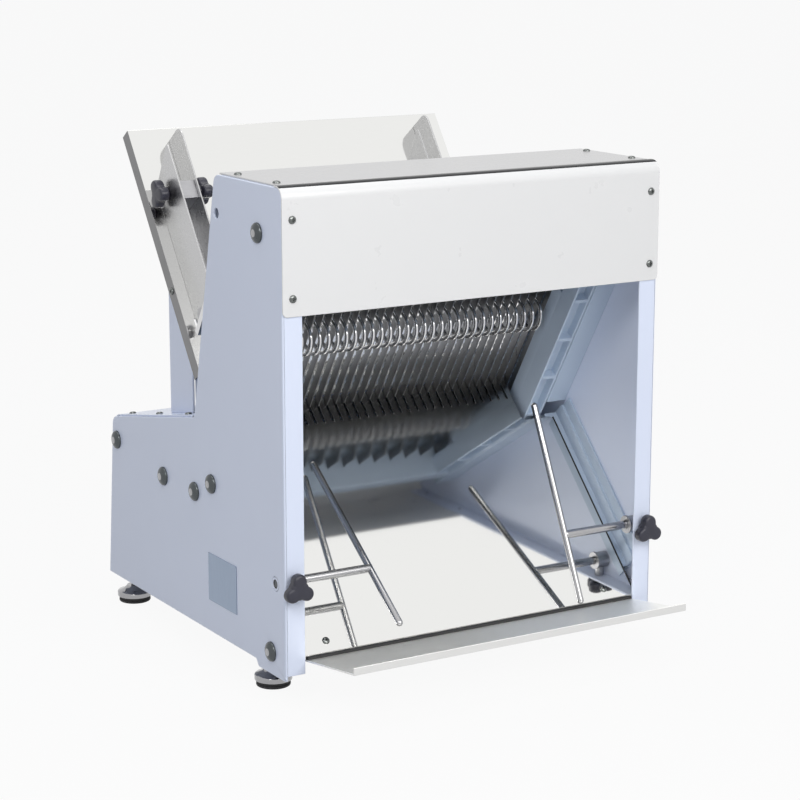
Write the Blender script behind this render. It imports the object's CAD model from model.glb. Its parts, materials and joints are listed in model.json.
"""Bread slicing machine: painted side panels, mirror slide and tray, two blade frames, knobs and feet."""
import json
import math

import bmesh
import bpy
from mathutils import Matrix, Vector

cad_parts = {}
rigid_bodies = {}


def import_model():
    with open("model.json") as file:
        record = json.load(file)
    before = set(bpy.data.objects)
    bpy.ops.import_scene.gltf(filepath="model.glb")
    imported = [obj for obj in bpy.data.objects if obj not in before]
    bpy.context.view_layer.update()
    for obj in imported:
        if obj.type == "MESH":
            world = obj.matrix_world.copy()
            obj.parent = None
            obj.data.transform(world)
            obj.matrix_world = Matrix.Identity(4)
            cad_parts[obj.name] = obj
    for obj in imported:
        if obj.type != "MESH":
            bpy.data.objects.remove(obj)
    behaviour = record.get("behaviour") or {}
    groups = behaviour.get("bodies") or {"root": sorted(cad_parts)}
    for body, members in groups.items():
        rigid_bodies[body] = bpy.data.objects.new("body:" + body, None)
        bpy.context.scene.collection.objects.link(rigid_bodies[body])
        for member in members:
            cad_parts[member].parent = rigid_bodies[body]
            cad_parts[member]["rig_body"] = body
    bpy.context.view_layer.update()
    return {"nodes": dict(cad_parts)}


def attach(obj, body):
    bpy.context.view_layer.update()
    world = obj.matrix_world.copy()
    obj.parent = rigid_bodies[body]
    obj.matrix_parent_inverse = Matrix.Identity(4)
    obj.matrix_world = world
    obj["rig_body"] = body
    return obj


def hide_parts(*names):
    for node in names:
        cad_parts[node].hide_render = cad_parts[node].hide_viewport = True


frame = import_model()
scene = bpy.context.scene

# Main sizes in mm, with depths measured from the front flange
MM = 0.001
FLANGE_Y = 186.5  # the flange lies this far ahead of the frame's origin
PANEL_X = 252.5  # outer faces of the side panels
COVER_Z = 584  # upper face of the covers
SLICE = 12  # pitch of the blades and of the comb's fingers
PIN_Y = 23  # depth of the outfeed pins
PIN_Z = 137  # height of the outfeed pins and of their clamp knobs
SIDES = (("left", -1), ("right", 1))


# Places
def at(x, y, z):
    """Point given in mm, with its depth measured from the front flange."""
    return Vector((x, y - FLANGE_Y, z)) * MM


def turned(degrees, axis):
    """Turn about one axis by degrees."""
    return Matrix.Rotation(math.radians(degrees), 4, axis)


def place(x, y, z, turn=0.0):
    """Frame in mm at a point, turned about X by degrees."""
    return Matrix.Translation(at(x, y, z)) @ turned(turn, "X") @ Matrix.Scale(MM, 4)


def axis_frame(x, y, z, axis):
    """Frame in mm at a point, with its local Z along the given direction."""
    turn = Vector((0, 0, 1)).rotation_difference(Vector(axis)).to_matrix().to_4x4()
    return Matrix.Translation(at(x, y, z)) @ turn @ Matrix.Scale(MM, 4)


BLADES = place(0, 222.29, 279.19, 32)  # Z runs along the blades
SLIDE = place(0, 0, 49, 46)  # Y runs up the slide
TRAY = place(0, 236.29, 293.63, 55)  # Y runs up the infeed tray
REAR_TOP = place(0, 222, 289, -10.56)  # Y runs back over the low rear cover

# Materials
NOISE_SPAN = (0.3, 0.7)  # most values of a noise lie in here
ROLLED = (1, 14, 14)  # stretch that draws a noise out into lines along X
WORN_SPAN = (0.224, 0.258)  # heights in m between which the slide turns dull


def linear(c):
    c /= 255.0
    return c / 12.92 if c <= 0.04045 else ((c + 0.055) / 1.055) ** 2.4


def rgb(r, g, b):
    return (linear(r), linear(g), linear(b), 1.0)


def shade(colour, k):
    return tuple(min(1.0, max(0.0, c * k)) for c in colour[:3]) + (1.0,)


class Graph:
    """Node tree of one material."""

    def __init__(self, name):
        self.mat = bpy.data.materials.new(name)
        self.mat.use_nodes = True
        self.nodes = self.mat.node_tree.nodes
        self.links = self.mat.node_tree.links
        self.shader = self.nodes["Principled BSDF"]
        self.coords = self.nodes.new("ShaderNodeTexCoord").outputs["Object"]

    def noise(self, scale, detail, stretch=None, rough=0.55):
        n = self.nodes.new("ShaderNodeTexNoise")
        for key, v in (("Scale", scale), ("Detail", detail), ("Roughness", rough)):
            n.inputs[key].default_value = v
        if stretch:
            m = self.nodes.new("ShaderNodeMapping")
            m.inputs["Scale"].default_value = stretch
            self.links.new(self.coords, m.inputs["Vector"])
            self.links.new(m.outputs["Vector"], n.inputs["Vector"])
        else:
            self.links.new(self.coords, n.inputs["Vector"])
        return n.outputs["Fac"]

    def colour(self, fac, low, high, span=NOISE_SPAN):
        """Base colour that runs from low to high over a span of the factor."""
        r = self.nodes.new("ShaderNodeValToRGB")
        for stop, position, value in zip(r.color_ramp.elements, span, (low, high)):
            stop.position = position
            stop.color = value
        self.links.new(fac, r.inputs["Fac"])
        self.links.new(r.outputs["Color"], self.shader.inputs["Base Color"])

    def mottle(self, fac, colour, vary):
        """Base colour that strays a little to both sides."""
        self.colour(fac, shade(colour, 1 - vary), shade(colour, 1 + vary))

    def spread(self, fac, low, high, span=NOISE_SPAN):
        m = self.nodes.new("ShaderNodeMapRange")
        for key, v in (("From Min", span[0]), ("From Max", span[1]), ("To Min", low), ("To Max", high)):
            m.inputs[key].default_value = v
        self.links.new(fac, m.inputs["Value"])
        return m.outputs["Result"]

    def roughness(self, fac, low, high, span=NOISE_SPAN):
        self.links.new(self.spread(fac, low, high, span), self.shader.inputs["Roughness"])

    def bump(self, height, strength, distance):
        b = self.nodes.new("ShaderNodeBump")
        b.inputs["Strength"].default_value = strength
        b.inputs["Distance"].default_value = distance
        self.links.new(height, b.inputs["Height"])
        self.links.new(b.outputs["Normal"], self.shader.inputs["Normal"])

    def set(self, key, value):
        self.shader.inputs[key].default_value = value


def paint(name, colour, rough, vary=0.03, peel=0.05, uneven=0.03):
    """Smooth baked enamel with a faint orange peel."""
    g = Graph(name)
    g.mottle(g.noise(5, 4), colour, vary)
    g.roughness(g.noise(26, 5), rough - uneven, rough + uneven)
    g.bump(g.noise(620, 2), peel, 0.0003)
    g.set("Coat Weight", 0.25)
    g.set("Coat Roughness", 0.12)
    return g.mat


def metal(name, colour, rough, spread=0.04, stretch=None, streak=0.04, bump=0.02, scale=90):
    """Polished or brushed metal; a stretch draws its grain along one axis."""
    g = Graph(name)
    grain = g.noise(scale, 6, stretch, 0.65)
    g.mottle(grain, colour, streak)
    g.roughness(g.noise(scale / 3, 5, stretch), max(0.01, rough - spread), rough + spread)
    g.bump(grain, bump, 0.0002)
    g.set("Metallic", 1.0)
    return g.mat


def plastic(name, colour, rough, grain=1500, bump=0.12, vary=0.12):
    """Moulded plastic or rubber with a fine grained skin."""
    g = Graph(name)
    g.mottle(g.noise(40, 4), colour, vary)
    g.roughness(g.noise(120, 4), rough - 0.07, rough + 0.07)
    g.bump(g.noise(grain, 3), bump, 0.0003)
    return g.mat


def slide_steel(name, colour, rough, worn_rough, worn_shade):
    """Mirror steel that crumbs and blades have dulled towards its slotted upper end."""
    g = Graph(name)
    split = g.nodes.new("ShaderNodeSeparateXYZ")
    g.links.new(g.coords, split.inputs[0])
    worn = g.spread(split.outputs["Z"], 0.0, 1.0, WORN_SPAN)
    g.colour(worn, colour, shade(colour, worn_shade), (0.0, 1.0))
    g.roughness(worn, rough, worn_rough, (0.0, 1.0))
    g.bump(g.noise(60, 6, ROLLED, 0.65), 0.002, 0.0002)
    g.set("Metallic", 1.0)
    return g.mat


PANEL = paint("panel_paint", rgb(223, 231, 250), rough=0.34, vary=0.012)
COVER = paint("cover_paint", rgb(228, 228, 228), rough=0.28, vary=0.002, peel=0.03, uneven=0.008)
CASTING = paint("casting_paint", rgb(194, 209, 227), rough=0.42, peel=0.12)
MIRROR = metal("mirror_steel", rgb(236, 236, 234), rough=0.07, spread=0.012, stretch=ROLLED, streak=0.006,
               bump=0.002, scale=60)
SLIDESTEEL = slide_steel("slide_steel", rgb(236, 236, 234), rough=0.05, worn_rough=0.17, worn_shade=0.5)
SATIN = metal("satin_fold", rgb(126, 126, 127), rough=0.36, stretch=(30, 1, 1), streak=0.03, bump=0.01,
              scale=80)
BOLT = metal("screw_chrome", rgb(112, 115, 114), rough=0.16, spread=0.03)
DARKRIM = metal("dark_rim", rgb(84, 88, 90), rough=0.28, spread=0.05)
SEAM = metal("roll_shade", rgb(40, 41, 43), rough=0.3)
FINGER = metal("bright_wire", rgb(214, 214, 215), rough=0.14, spread=0.03)
TRAYSTEEL = metal("tray_steel", rgb(221, 221, 220), rough=0.42, spread=0.03, stretch=ROLLED, streak=0.02,
                  bump=0.004, scale=60)
PLATESTEEL = metal("tray_plate", rgb(246, 246, 243), rough=0.46, spread=0.03, stretch=ROLLED, streak=0.02,
                   bump=0.004, scale=60)
TOPSTEEL = metal("satin_steel", rgb(191, 191, 192), rough=0.3, spread=0.05, stretch=(1, 30, 30), streak=0.02,
                 bump=0.012, scale=80)
CHROME = metal("bright_chrome", rgb(160, 160, 162), rough=0.12)
ROD = metal("polished_rod", rgb(172, 172, 174), rough=0.2, streak=0.03, bump=0.004, scale=300)
BLADE = metal("blade_steel", rgb(142, 142, 143), rough=0.32, spread=0.06, stretch=(60, 60, 3), streak=0.08,
              scale=40)
MACHINED = metal("machined_steel", rgb(170, 170, 173), rough=0.34, spread=0.06, stretch=(1, 8, 8),
                 streak=0.05, bump=0.05, scale=120)
IRON = plastic("grey_iron", rgb(92, 95, 100), rough=0.5, grain=700, bump=0.3)
BLACK = plastic("black_plastic", rgb(44, 44, 56), rough=0.36)
RUBBER = plastic("black_rubber", rgb(30, 30, 32), rough=0.7, grain=1200, bump=0.25)
GREEN = plastic("green_plastic", rgb(40, 150, 80), rough=0.25)
RED = plastic("red_plastic", rgb(200, 40, 38), rough=0.25)
PLATE = metal("bare_plate", rgb(146, 159, 178), rough=0.42, spread=0.05, stretch=(1, 20, 1), streak=0.03)

# Making pieces
WELD = 2e-6  # vertices closer than this, in m, are one
FLAT = math.radians(0.6)  # faces that meet at less than this are one
SOFT_ANGLE = 28  # edges sharper than this, in degrees, are rounded
FOLD_ANGLE = 0.6  # a fold's edge is sharper than this, in radians


def finish_mesh(bm, name, material, body, nodes=(), sharp=35):
    """Turns a bmesh into a piece that rides on a body and stands for CAD nodes."""
    bmesh.ops.recalc_face_normals(bm, faces=bm.faces)
    mesh = bpy.data.meshes.new(name)
    bm.to_mesh(mesh)
    bm.free()
    for p in mesh.polygons:
        p.use_smooth = True
    mesh.set_sharp_from_angle(angle=math.radians(sharp))
    obj = bpy.data.objects.new(name, mesh)
    scene.collection.objects.link(obj)
    for m in material if isinstance(material, list) else [material]:
        mesh.materials.append(m)
    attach(obj, body)
    if nodes:
        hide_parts(*nodes)
    return obj


def body_of(node):
    return frame["nodes"][node]["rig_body"]


def softened(node, material, width=0.6, segments=2, fold=None, fold_width=0.0):
    """Copy of a CAD solid with its edges rounded; edges picked by fold get a larger radius first."""
    bm = bmesh.new()
    bm.from_mesh(frame["nodes"][node].data)
    bmesh.ops.remove_doubles(bm, verts=bm.verts, dist=WELD)
    bmesh.ops.dissolve_limit(bm, angle_limit=FLAT, verts=bm.verts, edges=bm.edges)
    if fold:
        picked = [e for e in bm.edges if all(fold(v.co) for v in e.verts)]
        picked = [e for e in picked if len(e.link_faces) == 2 and e.calc_face_angle() > FOLD_ANGLE]
        bmesh.ops.bevel(bm, geom=picked, offset=fold_width * MM, segments=5, profile=0.5, affect="EDGES",
                        clamp_overlap=False)
    obj = finish_mesh(bm, node + "_soft", material, body_of(node), [node], SOFT_ANGLE)
    bevel = obj.modifiers.new("edges", "BEVEL")
    bevel.width = width * MM
    bevel.segments = segments
    bevel.limit_method = "ANGLE"
    bevel.angle_limit = math.radians(SOFT_ANGLE)
    bevel.use_clamp_overlap = False
    bevel.harden_normals = not fold
    if fold:
        even = obj.modifiers.new("even", "WEIGHTED_NORMAL")
        even.weight = 90
        even.keep_sharp = True
    return obj


def repaint(obj, picked):
    """Gives its second material to the faces that are picked."""
    for p in obj.data.polygons:
        p.material_index = 1 if picked(p) else 0


def ring(matrix, radius, height, steps):
    """Points about the matrix's Z axis; the radius is a number or a function of the angle."""
    points = []
    for i in range(steps):
        a = 2 * math.pi * i / steps
        r = radius(a) if callable(radius) else radius
        points.append(matrix @ Vector((r * math.cos(a), r * math.sin(a), height)))
    return points


def lathe(bm, profile, matrix, steps=40, mat=0):
    """Turned form from (radius, height) pairs in the matrix's frame."""
    rows = []
    for r, h in profile:
        points = ring(matrix, r, h, steps) if r > 0 else [matrix @ Vector((0, 0, h))]
        rows.append([bm.verts.new(p) for p in points])
    for a, b in zip(rows, rows[1:]):
        for i in range(steps):
            j = (i + 1) % steps
            if len(a) == 1:
                f = bm.faces.new((a[0], b[i], b[j]))
            elif len(b) == 1:
                f = bm.faces.new((a[i], a[j], b[0]))
            else:
                f = bm.faces.new((a[i], a[j], b[j], b[i]))
            f.material_index = mat


def loft(bm, rings):
    """Closed skin through rings of equal vertex count."""
    rows = [[bm.verts.new(p) for p in points] for points in rings]
    n = len(rows[0])
    for a, b in zip(rows, rows[1:]):
        for i in range(n):
            j = (i + 1) % n
            bm.faces.new((a[i], a[j], b[j], b[i]))
    bm.faces.new(list(reversed(rows[0])))
    bm.faces.new(rows[-1])


def bar(bm, matrix, section, along):
    """Straight bar: a section in the matrix's frame, carried along a vector there."""
    start = [matrix @ Vector(p) for p in section]
    step = matrix.to_3x3() @ Vector(along)
    loft(bm, [start, [p + step for p in start]])


def arc(cx, cy, r, a0, a1, n):
    """Points on an arc between two angles in degrees."""
    angles = [math.radians(a0 + (a1 - a0) * i / n) for i in range(n + 1)]
    return [(cx + r * math.cos(a), cy + r * math.sin(a)) for a in angles]


def rounded_rect(w, h, r):
    """Outline with rounded corners about the origin."""
    x = w / 2 - r
    y = h / 2 - r
    points = []
    for cx, cy, a in ((x, y, 0), (-x, y, 90), (-x, -y, 180), (x, -y, 270)):
        points += arc(cx, cy, r, a, a + 90, 3)
    return points


# Sheet work and castings
ROLL_Z = 0.575  # the front cover's roll lies above this, in m
ROLL_FACING = 0.85  # its darker faces point up by more than this
FLAT_FACING = 0.9  # faces of a plate point along its normal by more than this
BUSH_FACE_X = 251.9  # the bushes' outer faces lie past this
TRAY_UP = (TRAY.to_3x3() @ Vector((0, 0, 1))).normalized()
MACHINED_NODES = (
    "infeed_clamps_left", "infeed_clamps_right", "clamp_blocks", "crankshaft", "front_conrod", "rear_conrod",
    "front_wrist_pin", "rear_wrist_pin", "front_blade_rods", "rear_blade_rods", "tie_rods")


def front_fold(co):
    """True on the outer corner of a side panel's front flange."""
    p = co / MM + Vector((0, FLANGE_Y, 0))
    return abs(abs(p.x) - PANEL_X) < 0.1 and abs(p.y) < 0.1


for side in ("left", "right"):
    softened(f"{side}_side_panel", PANEL, 0.8, 3, front_fold, 2.5)
cover = softened("front_cover", [COVER, SEAM], 0.7, 3)
repaint(cover, lambda p: p.normal.z > ROLL_FACING and p.center.z > ROLL_Z)
softened("top_cover", TOPSTEEL, 0.7, 3)
for node in ("head_rear_panel", "rear_cover", "back_panel", "base_plate"):
    softened(node, PANEL)
softened("tray_brackets", PANEL, 0.8, 3)
softened("slide_plate", SLIDESTEEL, 0.5, 3)
tray = softened("infeed_tray", [MIRROR, SATIN], 0.5, 3)
repaint(tray, lambda p: abs(p.normal.dot(TRAY_UP)) <= FLAT_FACING)
catch = softened("front_tray", [TRAYSTEEL, PLATESTEEL], 0.5, 3)
repaint(catch, lambda p: p.normal.z > FLAT_FACING)
softened("slide_supports", CASTING, 0.8)
for node in ("infeed_guide_left", "infeed_guide_right"):
    softened(node, TOPSTEEL, 0.5, 3)
for node in ("front_frame", "rear_frame", "left_guide_rails", "right_guide_rails"):
    softened(node, CASTING, 0.9, 3)
for node in MACHINED_NODES:
    softened(node, MACHINED, 0.5)
for node in ("outfeed_bush_left", "outfeed_bush_right"):
    bush = softened(node, [MACHINED, PANEL], 0.5)
    repaint(bush, lambda p: abs(p.center.x) > BUSH_FACE_X * MM)
for node in ("bearing_blocks", "driven_pulley", "motor", "motor_pulley", "motor_saddles"):
    softened(node, IRON, 0.8)
softened("drive_belt", RUBBER)
softened("cable_gland", BLACK)
softened("switch_plate", BLACK, 0.8)
softened("start_button", GREEN, 1.2, 4)
softened("stop_button", RED, 1.2, 4)
softened("rating_plate", PLATE, 0.3)

# Cheeks on the front blade frame beside the blades
CHEEK_X = 197.1
CHEEK_Y = -11.5
CHEEK_LOW = -36
CHEEK_LENGTH = 208

bm = bmesh.new()
for sign in (-1, 1):
    cheek = [(sign * CHEEK_X + p, CHEEK_Y + q, CHEEK_LOW) for p, q in rounded_rect(3.0, 19.0, 0.8)]
    bar(bm, BLADES, cheek, (0, 0, CHEEK_LENGTH))
finish_mesh(bm, "front_frame_cheeks", CASTING, body_of("front_frame"))

# Dark edging of the slide: a bead at the front tray and a trim along both sides
BEAD_R = 2.6
BEAD_X = 225
BEAD_Y = 1.0
BEAD_Z = 51.0
TRIM_X = 234.5
TRIM_START = 8
TRIM_LENGTH = 258
TRIM_Z = -0.2

bm = bmesh.new()
bead = [(0, -BEAD_X), (BEAD_R, -BEAD_X), (BEAD_R, BEAD_X), (0, BEAD_X)]
lathe(bm, bead, axis_frame(0, BEAD_Y, BEAD_Z, (1, 0, 0)), 24)
for sign in (-1, 1):
    trim = [(sign * TRIM_X + p, TRIM_START, TRIM_Z + q) for p, q in rounded_rect(1.8, 2.0, 0.6)]
    bar(bm, SLIDE, trim, (0, TRIM_LENGTH, 0))
finish_mesh(bm, "slide_edging", RUBBER, "body", (), 40)

# Blades
BLADE_LOW = -119.0
BLADE_HIGH = 254.0
BLADE_HALF = 0.4  # half the thickness
TIP_HALF = 0.08
GROUND = 3.2  # width of the ground edge
SCALLOP = 9.0  # pitch of the scallops
SCALLOP_DEPTH = 1.6
PLAIN_END = 22  # both ends have no scallops
BEND_LOW = -68.0  # bent blades stand back between these two heights
BEND_HIGH = 203.0
BEND_RUN = 28.0


def blade_set(name, xs, back, edge, set_back):
    """Thin blades with a scalloped, ground edge on the side that meets the bread."""
    bm = bmesh.new()
    length = BLADE_HIGH - BLADE_LOW
    stations = 2 * int(length / (SCALLOP / 2))
    for x in xs:
        rings = []
        for i in range(stations + 1):
            z = BLADE_LOW + length * i / stations
            scalloped = min(z - BLADE_LOW, BLADE_HIGH - z) > PLAIN_END
            wave = abs(math.sin(math.pi * z / SCALLOP)) * SCALLOP_DEPTH if scalloped else 0.0
            shift = set_back * min(1.0, max(0.0, min(z - BEND_LOW, BEND_HIGH - z) / BEND_RUN))
            grind = edge - GROUND - wave * 0.4
            tip = edge - SCALLOP_DEPTH + wave
            section = ((-BLADE_HALF, back), (BLADE_HALF, back), (BLADE_HALF, grind), (TIP_HALF, tip),
                       (-TIP_HALF, tip), (-BLADE_HALF, grind))
            rings.append([BLADES @ Vector((x + dx, y + shift, z)) for dx, y in section])
        loft(bm, rings)
    finish_mesh(bm, name + "_scalloped", BLADE, body_of(name), [name], 20)


blade_set("front_blades", [SLICE * k for k in range(-17, 18, 2)], back=-16.0, edge=-4.0, set_back=20.0)
blade_set("rear_blades", [SLICE * k for k in range(-16, 17, 2)], back=4.0, edge=16.0, set_back=0.0)

# Upper comb: bent fingers on a bar
COMB_Z = 118.03
NOSE_R = 19.5
NOSE_Y = 5.0
SHANK_Y = 30.0
ROOT_Y = 51.5
BAR_X = 249.5
BAR_Y = 55
BAR_RISE = 12

path = [(ROOT_Y, -NOSE_R, 0), (SHANK_Y, -NOSE_R, 0)]
for degrees in range(0, 181, 12):
    a = math.radians(degrees)
    path.append((NOSE_Y - NOSE_R * math.sin(a), -NOSE_R * math.cos(a), a))
path += [(SHANK_Y, NOSE_R, math.pi), (ROOT_Y, NOSE_R, math.pi)]
finger = rounded_rect(3.0, 5.0, 0.9)
bm = bmesh.new()
for k in range(-16, 16):
    x = (k + 0.5) * SLICE
    rings = []
    for y, z, a in path:
        rings.append([BLADES @ Vector((x + p, y + q * math.sin(a), COMB_Z + z + q * math.cos(a)))
                      for p, q in finger])
    loft(bm, rings)
comb_bar = [(-BAR_X, BAR_Y + p, COMB_Z + BAR_RISE + q) for p, q in rounded_rect(8, 68, 1.2)]
bar(bm, BLADES, comb_bar, (2 * BAR_X, 0, 0))
finish_mesh(bm, "upper_comb_fingers", FINGER, "body", ["upper_comb"])

# Knobs
KNOB_X = 241  # outfeed clamp knobs
KNOB_GAP = 0.3  # between a knob and the face it clamps
CLAMP_REACH = 14.0  # length of the studs
GUIDE_REACH = 16.0
LOBE_R = 8.0
LOBE_OUT = 10.5  # from the knob's axis to the middle of a lobe
CORE_R = 11.4
BLEND = 9  # a higher power joins lobes and core more sharply
RIM_R = 3.6
SKIN = 0.12  # the grip is drawn this much inside the CAD outline
GRIP_STEPS = 96
GRIP_LOW = 4
GRIP_TOP = 17
COLLAR = [(0, 0), (7.2, 0), (8, 0.8), (7.6, 3.2), (8.4, 4.6), (0, 4.6)]
GUIDE_KNOB_Y = 276
GUIDE_KNOB_Z = 25
GUIDE_XS = {"left": -209, "right": 147}
GUIDE_WIDTH = 38


def lobe(a):
    """Outline radius: blunt lobes at 90, 210 and 330 degrees on a round core."""
    third = 2 * math.pi / 3
    t = (a - math.pi / 2 + third / 2) % third - third / 2
    rest = LOBE_R ** 2 - (LOBE_OUT * math.sin(t)) ** 2
    tip = LOBE_OUT * math.cos(t) + math.sqrt(rest) if rest > 0 else 0.0
    return (tip ** BLEND + CORE_R ** BLEND) ** (1 / BLEND) - SKIN


def knob(name, node, matrix, reach):
    """Three-lobed grip with a rounded rim on a collar, and its steel stud."""
    rim = [math.radians(t) for t in range(0, 91, 18)]
    levels = [(RIM_R * (1 - math.sin(t)), GRIP_LOW + RIM_R * (1 - math.cos(t))) for t in rim]
    levels += [((0.25 + 0.75 * RIM_R) * (1 - math.cos(t)), GRIP_TOP - 0.6 - RIM_R * (1 - math.sin(t)))
               for t in rim]
    rings = []
    for inset, z in levels:
        rings.append(ring(matrix, lambda a: lobe(a) - inset, z, GRIP_STEPS))
    for k, z in ((0.6, GRIP_TOP - 0.25), (0.25, GRIP_TOP)):
        rings.append(ring(matrix, lambda a: lobe(a) * k, z, GRIP_STEPS))
    bm = bmesh.new()
    loft(bm, rings)
    lathe(bm, COLLAR, matrix)
    finish_mesh(bm, name, BLACK, body_of(node), [node], 50)
    thread = [(0, 0.2)]
    for i in range(int(reach)):
        thread += [(3.95, -i), (3.5, -i - 0.5)]
    bm = bmesh.new()
    lathe(bm, thread + [(3.4, -reach), (0, -reach)], matrix, 28)
    finish_mesh(bm, name + "_stud", MACHINED, body_of(node), (), 50)


for side, sign in SIDES:
    clamp = place(sign * KNOB_X, -KNOB_GAP, PIN_Z, 90)
    knob(f"outfeed_grip_{side}", f"outfeed_knob_{side}", clamp, CLAMP_REACH)
    outer = GUIDE_XS[side] - KNOB_GAP
    inner = GUIDE_XS[side] + GUIDE_WIDTH + KNOB_GAP
    for end, x, turn in (("outer", outer, -90), ("inner", inner, 90)):
        axis = TRAY @ Matrix.Translation((x, GUIDE_KNOB_Y, GUIDE_KNOB_Z)) @ turned(turn, "Y")
        knob(f"infeed_grip_{side}_{end}", f"infeed_knob_{side}_{end}", axis, GUIDE_REACH)

# Outfeed guides: a pin with a crossing rod
PIN_END_X = 251.5
PIN_R = 5
PIN_ROUND = 1.5
ROD_R = 4
ROD_LOW = -81
ROD_HIGH = 161


def slice_guide(side, sign, x, slope):
    """Pin from the panel to its crossing rod, which slopes by degrees."""
    run = abs(sign * PIN_END_X - x)
    pin = axis_frame(sign * PIN_END_X, PIN_Y, PIN_Z, (-sign, 0, 0))
    cap = [(0, 0.0), (4.2, 0.0), (PIN_R, 0.8)]
    shaft = [(PIN_R, 0.8), (PIN_R, run - PIN_ROUND)]
    shaft += arc(PIN_R - PIN_ROUND, run - PIN_ROUND, PIN_ROUND, 0, 90, 4) + [(0, run)]
    bm = bmesh.new()
    lathe(bm, cap, pin, 40, 1)
    lathe(bm, shaft, pin)
    a = math.radians(slope)
    rod = axis_frame(x, PIN_Y, PIN_Z, (0, math.cos(a), math.sin(a)))
    ends = arc(0, ROD_LOW, ROD_R, -75, 0, 5) + arc(0, ROD_HIGH, ROD_R, 0, 75, 5)
    lathe(bm, [(0, ROD_LOW - ROD_R)] + ends + [(0, ROD_HIGH + ROD_R)], rod, 36)
    node = f"outfeed_guide_{side}"
    finish_mesh(bm, node + "_polished", [ROD, IRON], body_of(node), [node], 40)


slice_guide("left", -1, -130.5, 35.6)
slice_guide("right", 1, 141.5, 65.0)

# Feet
FOOT_X = 229.5
FOOT_YS = (74, 455)
NUT_ZS = (28.0, 39.0)
STUD_LOW = 20.5
STUD_TOP = 51
THREAD_PITCH = 1.25

pad = [(0, 0), (18.6, 0)] + arc(18.6, 1.4, 1.4, -90, 0, 4)
pad += [(20, 3.2), (19.3, 3.6), (19.3, 4.2), (20, 4.6), (20, 7), (0, 7)]
cup = [(0, 7.05), (21.2, 7.05)] + arc(21.2, 7.85, 0.8, -90, 0, 3) + [(22, 11.5)]
cup += arc(20.4, 12.2, 1.6, 0, 60, 4) + [(16.5, 15.2), (12.6, 17.6), (10.6, 19.6), (9.6, 21), (0, 21)]
stud = [(0, STUD_LOW)]
for i in range(24):
    stud += [(5.0, STUD_LOW + i * THREAD_PITCH), (4.5, STUD_LOW + i * THREAD_PITCH + 0.62)]
stud += [(4.4, STUD_TOP), (0, STUD_TOP)]
nut = [(5.0, 0.0), (7.8, 0.0), (9.5, 1.0), (9.5, 7.0), (7.8, 8.0), (5.0, 8.0)]
pads = bmesh.new()
cups = bmesh.new()
studs = bmesh.new()
for sign in (-1, 1):
    for y in FOOT_YS:
        foot = place(sign * FOOT_X, y, 0)
        lathe(pads, pad, foot, 48)
        lathe(cups, cup, foot, 56)
        lathe(studs, stud, foot, 28)
        for low in NUT_ZS:
            lathe(studs, [(r, low + h) for r, h in nut], foot, 6)
finish_mesh(pads, "foot_pads_rubber", RUBBER, "body", ["foot_pads"], 40)
finish_mesh(cups, "foot_cups_chrome", CHROME, "body", ["foot_cups"], 40)
finish_mesh(studs, "foot_studs_threaded", MACHINED, "body", ["foot_studs"], 30)

# Dome bolts, with a bright middle in a dark rim
DOME_R = 11.5
DOME_H = 5.1
DOME_BASE = 0.9
BRIGHT_STEPS = 3  # so many of the dome's steps from its top are bright
BOLTS_YZ = ((55.0, 528.0), (446, 217), (34, 55), (310.1, 199.1), (224.1, 199.0), (179.2, 218.0))

quarter = [math.radians(90 * i / 12) for i in range(13)]
dome = [(DOME_R * math.sin(a), DOME_BASE + DOME_H * math.cos(a)) for a in quarter]
bolt_rim = dome[BRIGHT_STEPS:] + [(DOME_R, 0), (4, 0), (4, -13), (0, -13)]
bm = bmesh.new()
for sign in (-1, 1):
    for y, z in BOLTS_YZ:
        head = axis_frame(sign * PANEL_X, y, z, (sign, 0, 0))
        lathe(bm, dome[:BRIGHT_STEPS + 1], head)
        lathe(bm, bolt_rim, head, 40, 1)
bmesh.ops.remove_doubles(bm, verts=bm.verts, dist=1e-7)
finish_mesh(bm, "panel_bolts_domed", [CHROME, DARKRIM], "body", ["panel_bolts"], 50)

# Cover screws: their places, the lengths of their shanks and the form of their heads
FRONT_X = 240
FRONT_Y = -2
FRONT_ZS = (548, 462)
TOP_X = 238.5
TOP_YS = (35.5, 127)
REAR_X = 236.5
REAR_Z = 2
REAR_RUNS = (49, 132, 213)
SLIDE_SCREW = (193.5, 20, 0)
TRAY_SCREW = (224, 161, -9)
SHANK = 5
SLIDE_SHANK = 4
HEAD_TOP = 2.1
HEAD_STEPS = 32
PAN_HEAD = ((2.0, 0), (4.5, 0), (4.5, 0.5), (4.2, 1.2), (3.6, 1.75), (2.9, HEAD_TOP))
ARM = 2.2  # reach and half width of the cross recess
HALF = 0.55
CROSS = ((ARM, -HALF), (ARM, HALF), (HALF, HALF), (HALF, ARM), (-HALF, ARM), (-HALF, HALF), (-ARM, HALF),
         (-ARM, -HALF), (-HALF, -HALF), (-HALF, -ARM), (HALF, -ARM), (HALF, -HALF))


def band(bm, a, b):
    """Faces between two rows of equal length."""
    for i in range(len(a)):
        j = (i + 1) % len(a)
        bm.faces.new((a[i], a[j], b[j], b[i]))


def loop_edges(bm, row):
    return [bm.edges.get((row[i], row[(i + 1) % len(row)])) for i in range(len(row))]


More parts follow.
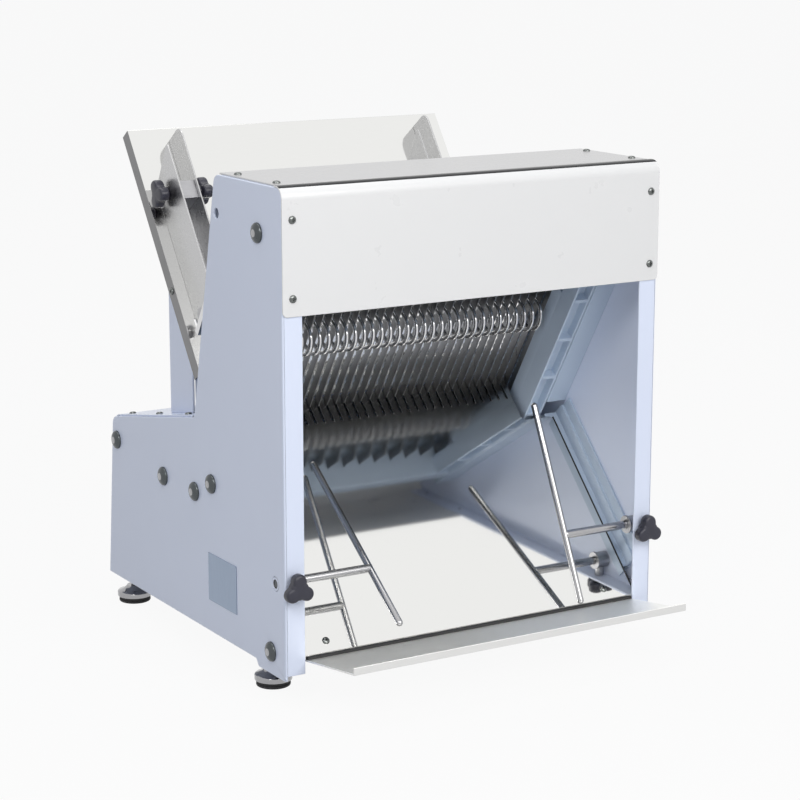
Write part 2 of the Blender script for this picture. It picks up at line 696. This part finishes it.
def screw(bm, matrix, reach):
    """Pan head with a cross recess."""
    rows = []
    for r, h in ((2.0, -reach),) + PAN_HEAD:
        rows.append([bm.verts.new(p) for p in ring(matrix, r, h, HEAD_STEPS)])
    for a, b in zip(rows, rows[1:]):
        band(bm, a, b)
    bm.faces.new(list(reversed(rows[0])))
    upper = [bm.verts.new(matrix @ Vector((p, q, HEAD_TOP + 0.15))) for p, q in CROSS]
    lower = [bm.verts.new(matrix @ Vector((p * 0.8, q * 0.8, 0.7))) for p, q in CROSS]
    band(bm, upper, lower)
    bm.faces.new(lower)
    edges = loop_edges(bm, rows[-1]) + loop_edges(bm, upper)
    bmesh.ops.triangle_fill(bm, edges=edges, use_beauty=True)


bm = bmesh.new()
for sign in (-1, 1):
    for z in FRONT_ZS:
        screw(bm, axis_frame(sign * FRONT_X, FRONT_Y, z, (0, -1, 0)), SHANK)
    for y in TOP_YS:
        screw(bm, axis_frame(sign * TOP_X, y, COVER_Z, (0, 0, 1)), SHANK)
    for run in REAR_RUNS:
        screw(bm, REAR_TOP @ Matrix.Translation((sign * REAR_X, run, REAR_Z)), SHANK)
    x, y, z = SLIDE_SCREW
    screw(bm, SLIDE @ Matrix.Translation((sign * x, y, z)), SLIDE_SHANK)
    x, y, z = TRAY_SCREW
    screw(bm, TRAY @ Matrix.Translation((sign * x, y, z)) @ turned(90 * sign, "Y"), SHANK)
finish_mesh(bm, "cover_screws_crossed", BOLT, "body", ["cover_screws"])

# Studio
FLOOR_HALF = 30
FLOOR_GREY = 0.55
FLOOR_GLOW = 0.93  # share of plain white where the floor is looked at
FILL_COLOUR = (0.93, 0.985, 1.09, 1)
FILL_STRENGTH = 0.31
LAMP_COLOUR = (1.0, 0.99, 0.97)
WHITE = (1, 1, 1, 1)

floor_mesh = bpy.data.meshes.new("floor")
corners = [(FLOOR_HALF * x, FLOOR_HALF * y, 0) for x, y in ((-1, -1), (1, -1), (1, 1), (-1, 1))]
floor_mesh.from_pydata(corners, [], [(0, 1, 2, 3)])
floor = bpy.data.objects.new("floor", floor_mesh)
scene.collection.objects.link(floor)


def seen_rays(tree):
    """One where a camera, mirror or glass ray looks, else zero."""
    path = tree.nodes.new("ShaderNodeLightPath")
    total = path.outputs["Is Camera Ray"]
    for key in ("Is Glossy Ray", "Is Transmission Ray"):
        most = tree.nodes.new("ShaderNodeMath")
        most.operation = "MAXIMUM"
        tree.links.new(total, most.inputs[0])
        tree.links.new(path.outputs[key], most.inputs[1])
        total = most.outputs[0]
    return total


def mixed(tree, share, first, second, output):
    """Sends a mix of two shaders to the tree's output."""
    mix = tree.nodes.new("ShaderNodeMixShader")
    tree.links.new(share, mix.inputs["Fac"])
    tree.links.new(first.outputs[0], mix.inputs[1])
    tree.links.new(second.outputs[0], mix.inputs[2])
    tree.links.new(mix.outputs[0], tree.nodes[output].inputs["Surface"])


floor_mat = bpy.data.materials.new("studio_floor")
floor_mat.use_nodes = True
tree = floor_mat.node_tree
tree.nodes.remove(tree.nodes["Principled BSDF"])
diffuse = tree.nodes.new("ShaderNodeBsdfDiffuse")
diffuse.inputs["Color"].default_value = (FLOOR_GREY, FLOOR_GREY, FLOOR_GREY, 1)
glow = tree.nodes.new("ShaderNodeEmission")
glow.inputs["Color"].default_value = WHITE
glow.inputs["Strength"].default_value = 1.0
share = tree.nodes.new("ShaderNodeMath")
share.operation = "MULTIPLY"
share.inputs[1].default_value = FLOOR_GLOW
tree.links.new(seen_rays(tree), share.inputs[0])
mixed(tree, share.outputs[0], diffuse, glow, "Material Output")
floor_mesh.materials.append(floor_mat)

world = bpy.data.worlds.new("studio")
scene.world = world
world.use_nodes = True
tree = world.node_tree
fill = tree.nodes["Background"]
fill.inputs["Color"].default_value = FILL_COLOUR
fill.inputs["Strength"].default_value = FILL_STRENGTH
white = tree.nodes.new("ShaderNodeBackground")
white.inputs["Color"].default_value = WHITE
white.inputs["Strength"].default_value = 1.0
mixed(tree, seen_rays(tree), fill, white, "World Output")


def lamp(name, position, aim, size, power):
    """Round soft light that looks at a point."""
    data = bpy.data.lights.new(name, "AREA")
    data.shape = "DISK"
    data.size = size
    data.energy = power
    data.color = LAMP_COLOUR
    obj = bpy.data.objects.new(name, data)
    obj.location = position
    obj.rotation_euler = (Vector(aim) - Vector(position)).to_track_quat("-Z", "Y").to_euler()
    scene.collection.objects.link(obj)


lamp("key", (0.4, -3.0, 1.9), aim=(0, 0, 0.3), size=2.2, power=59)
lamp("left_high", (-1.15, -1.1, 1.45), aim=(-0.25, -0.15, 0.55), size=0.6, power=8.5)
lamp("top", (0.0, 0.4, 3.0), aim=(0, 0, 0.3), size=2.4, power=27)

# Camera, solved from edges in the photo
EYE = (-1.39257, -2.32685, 0.88051)
LOOK = (0.50394, 0.83697, -0.21336)

camera = bpy.data.cameras.new("camera")
camera.lens = 102.57
camera.sensor_width = 36.0
camera.clip_start = 0.05
camera.clip_end = 100
eye = bpy.data.objects.new("camera", camera)
eye.location = EYE
eye.rotation_euler = Vector(LOOK).to_track_quat("-Z", "Y").to_euler()
scene.collection.objects.link(eye)
scene.camera = eye

scene.view_settings.view_transform = "Standard"
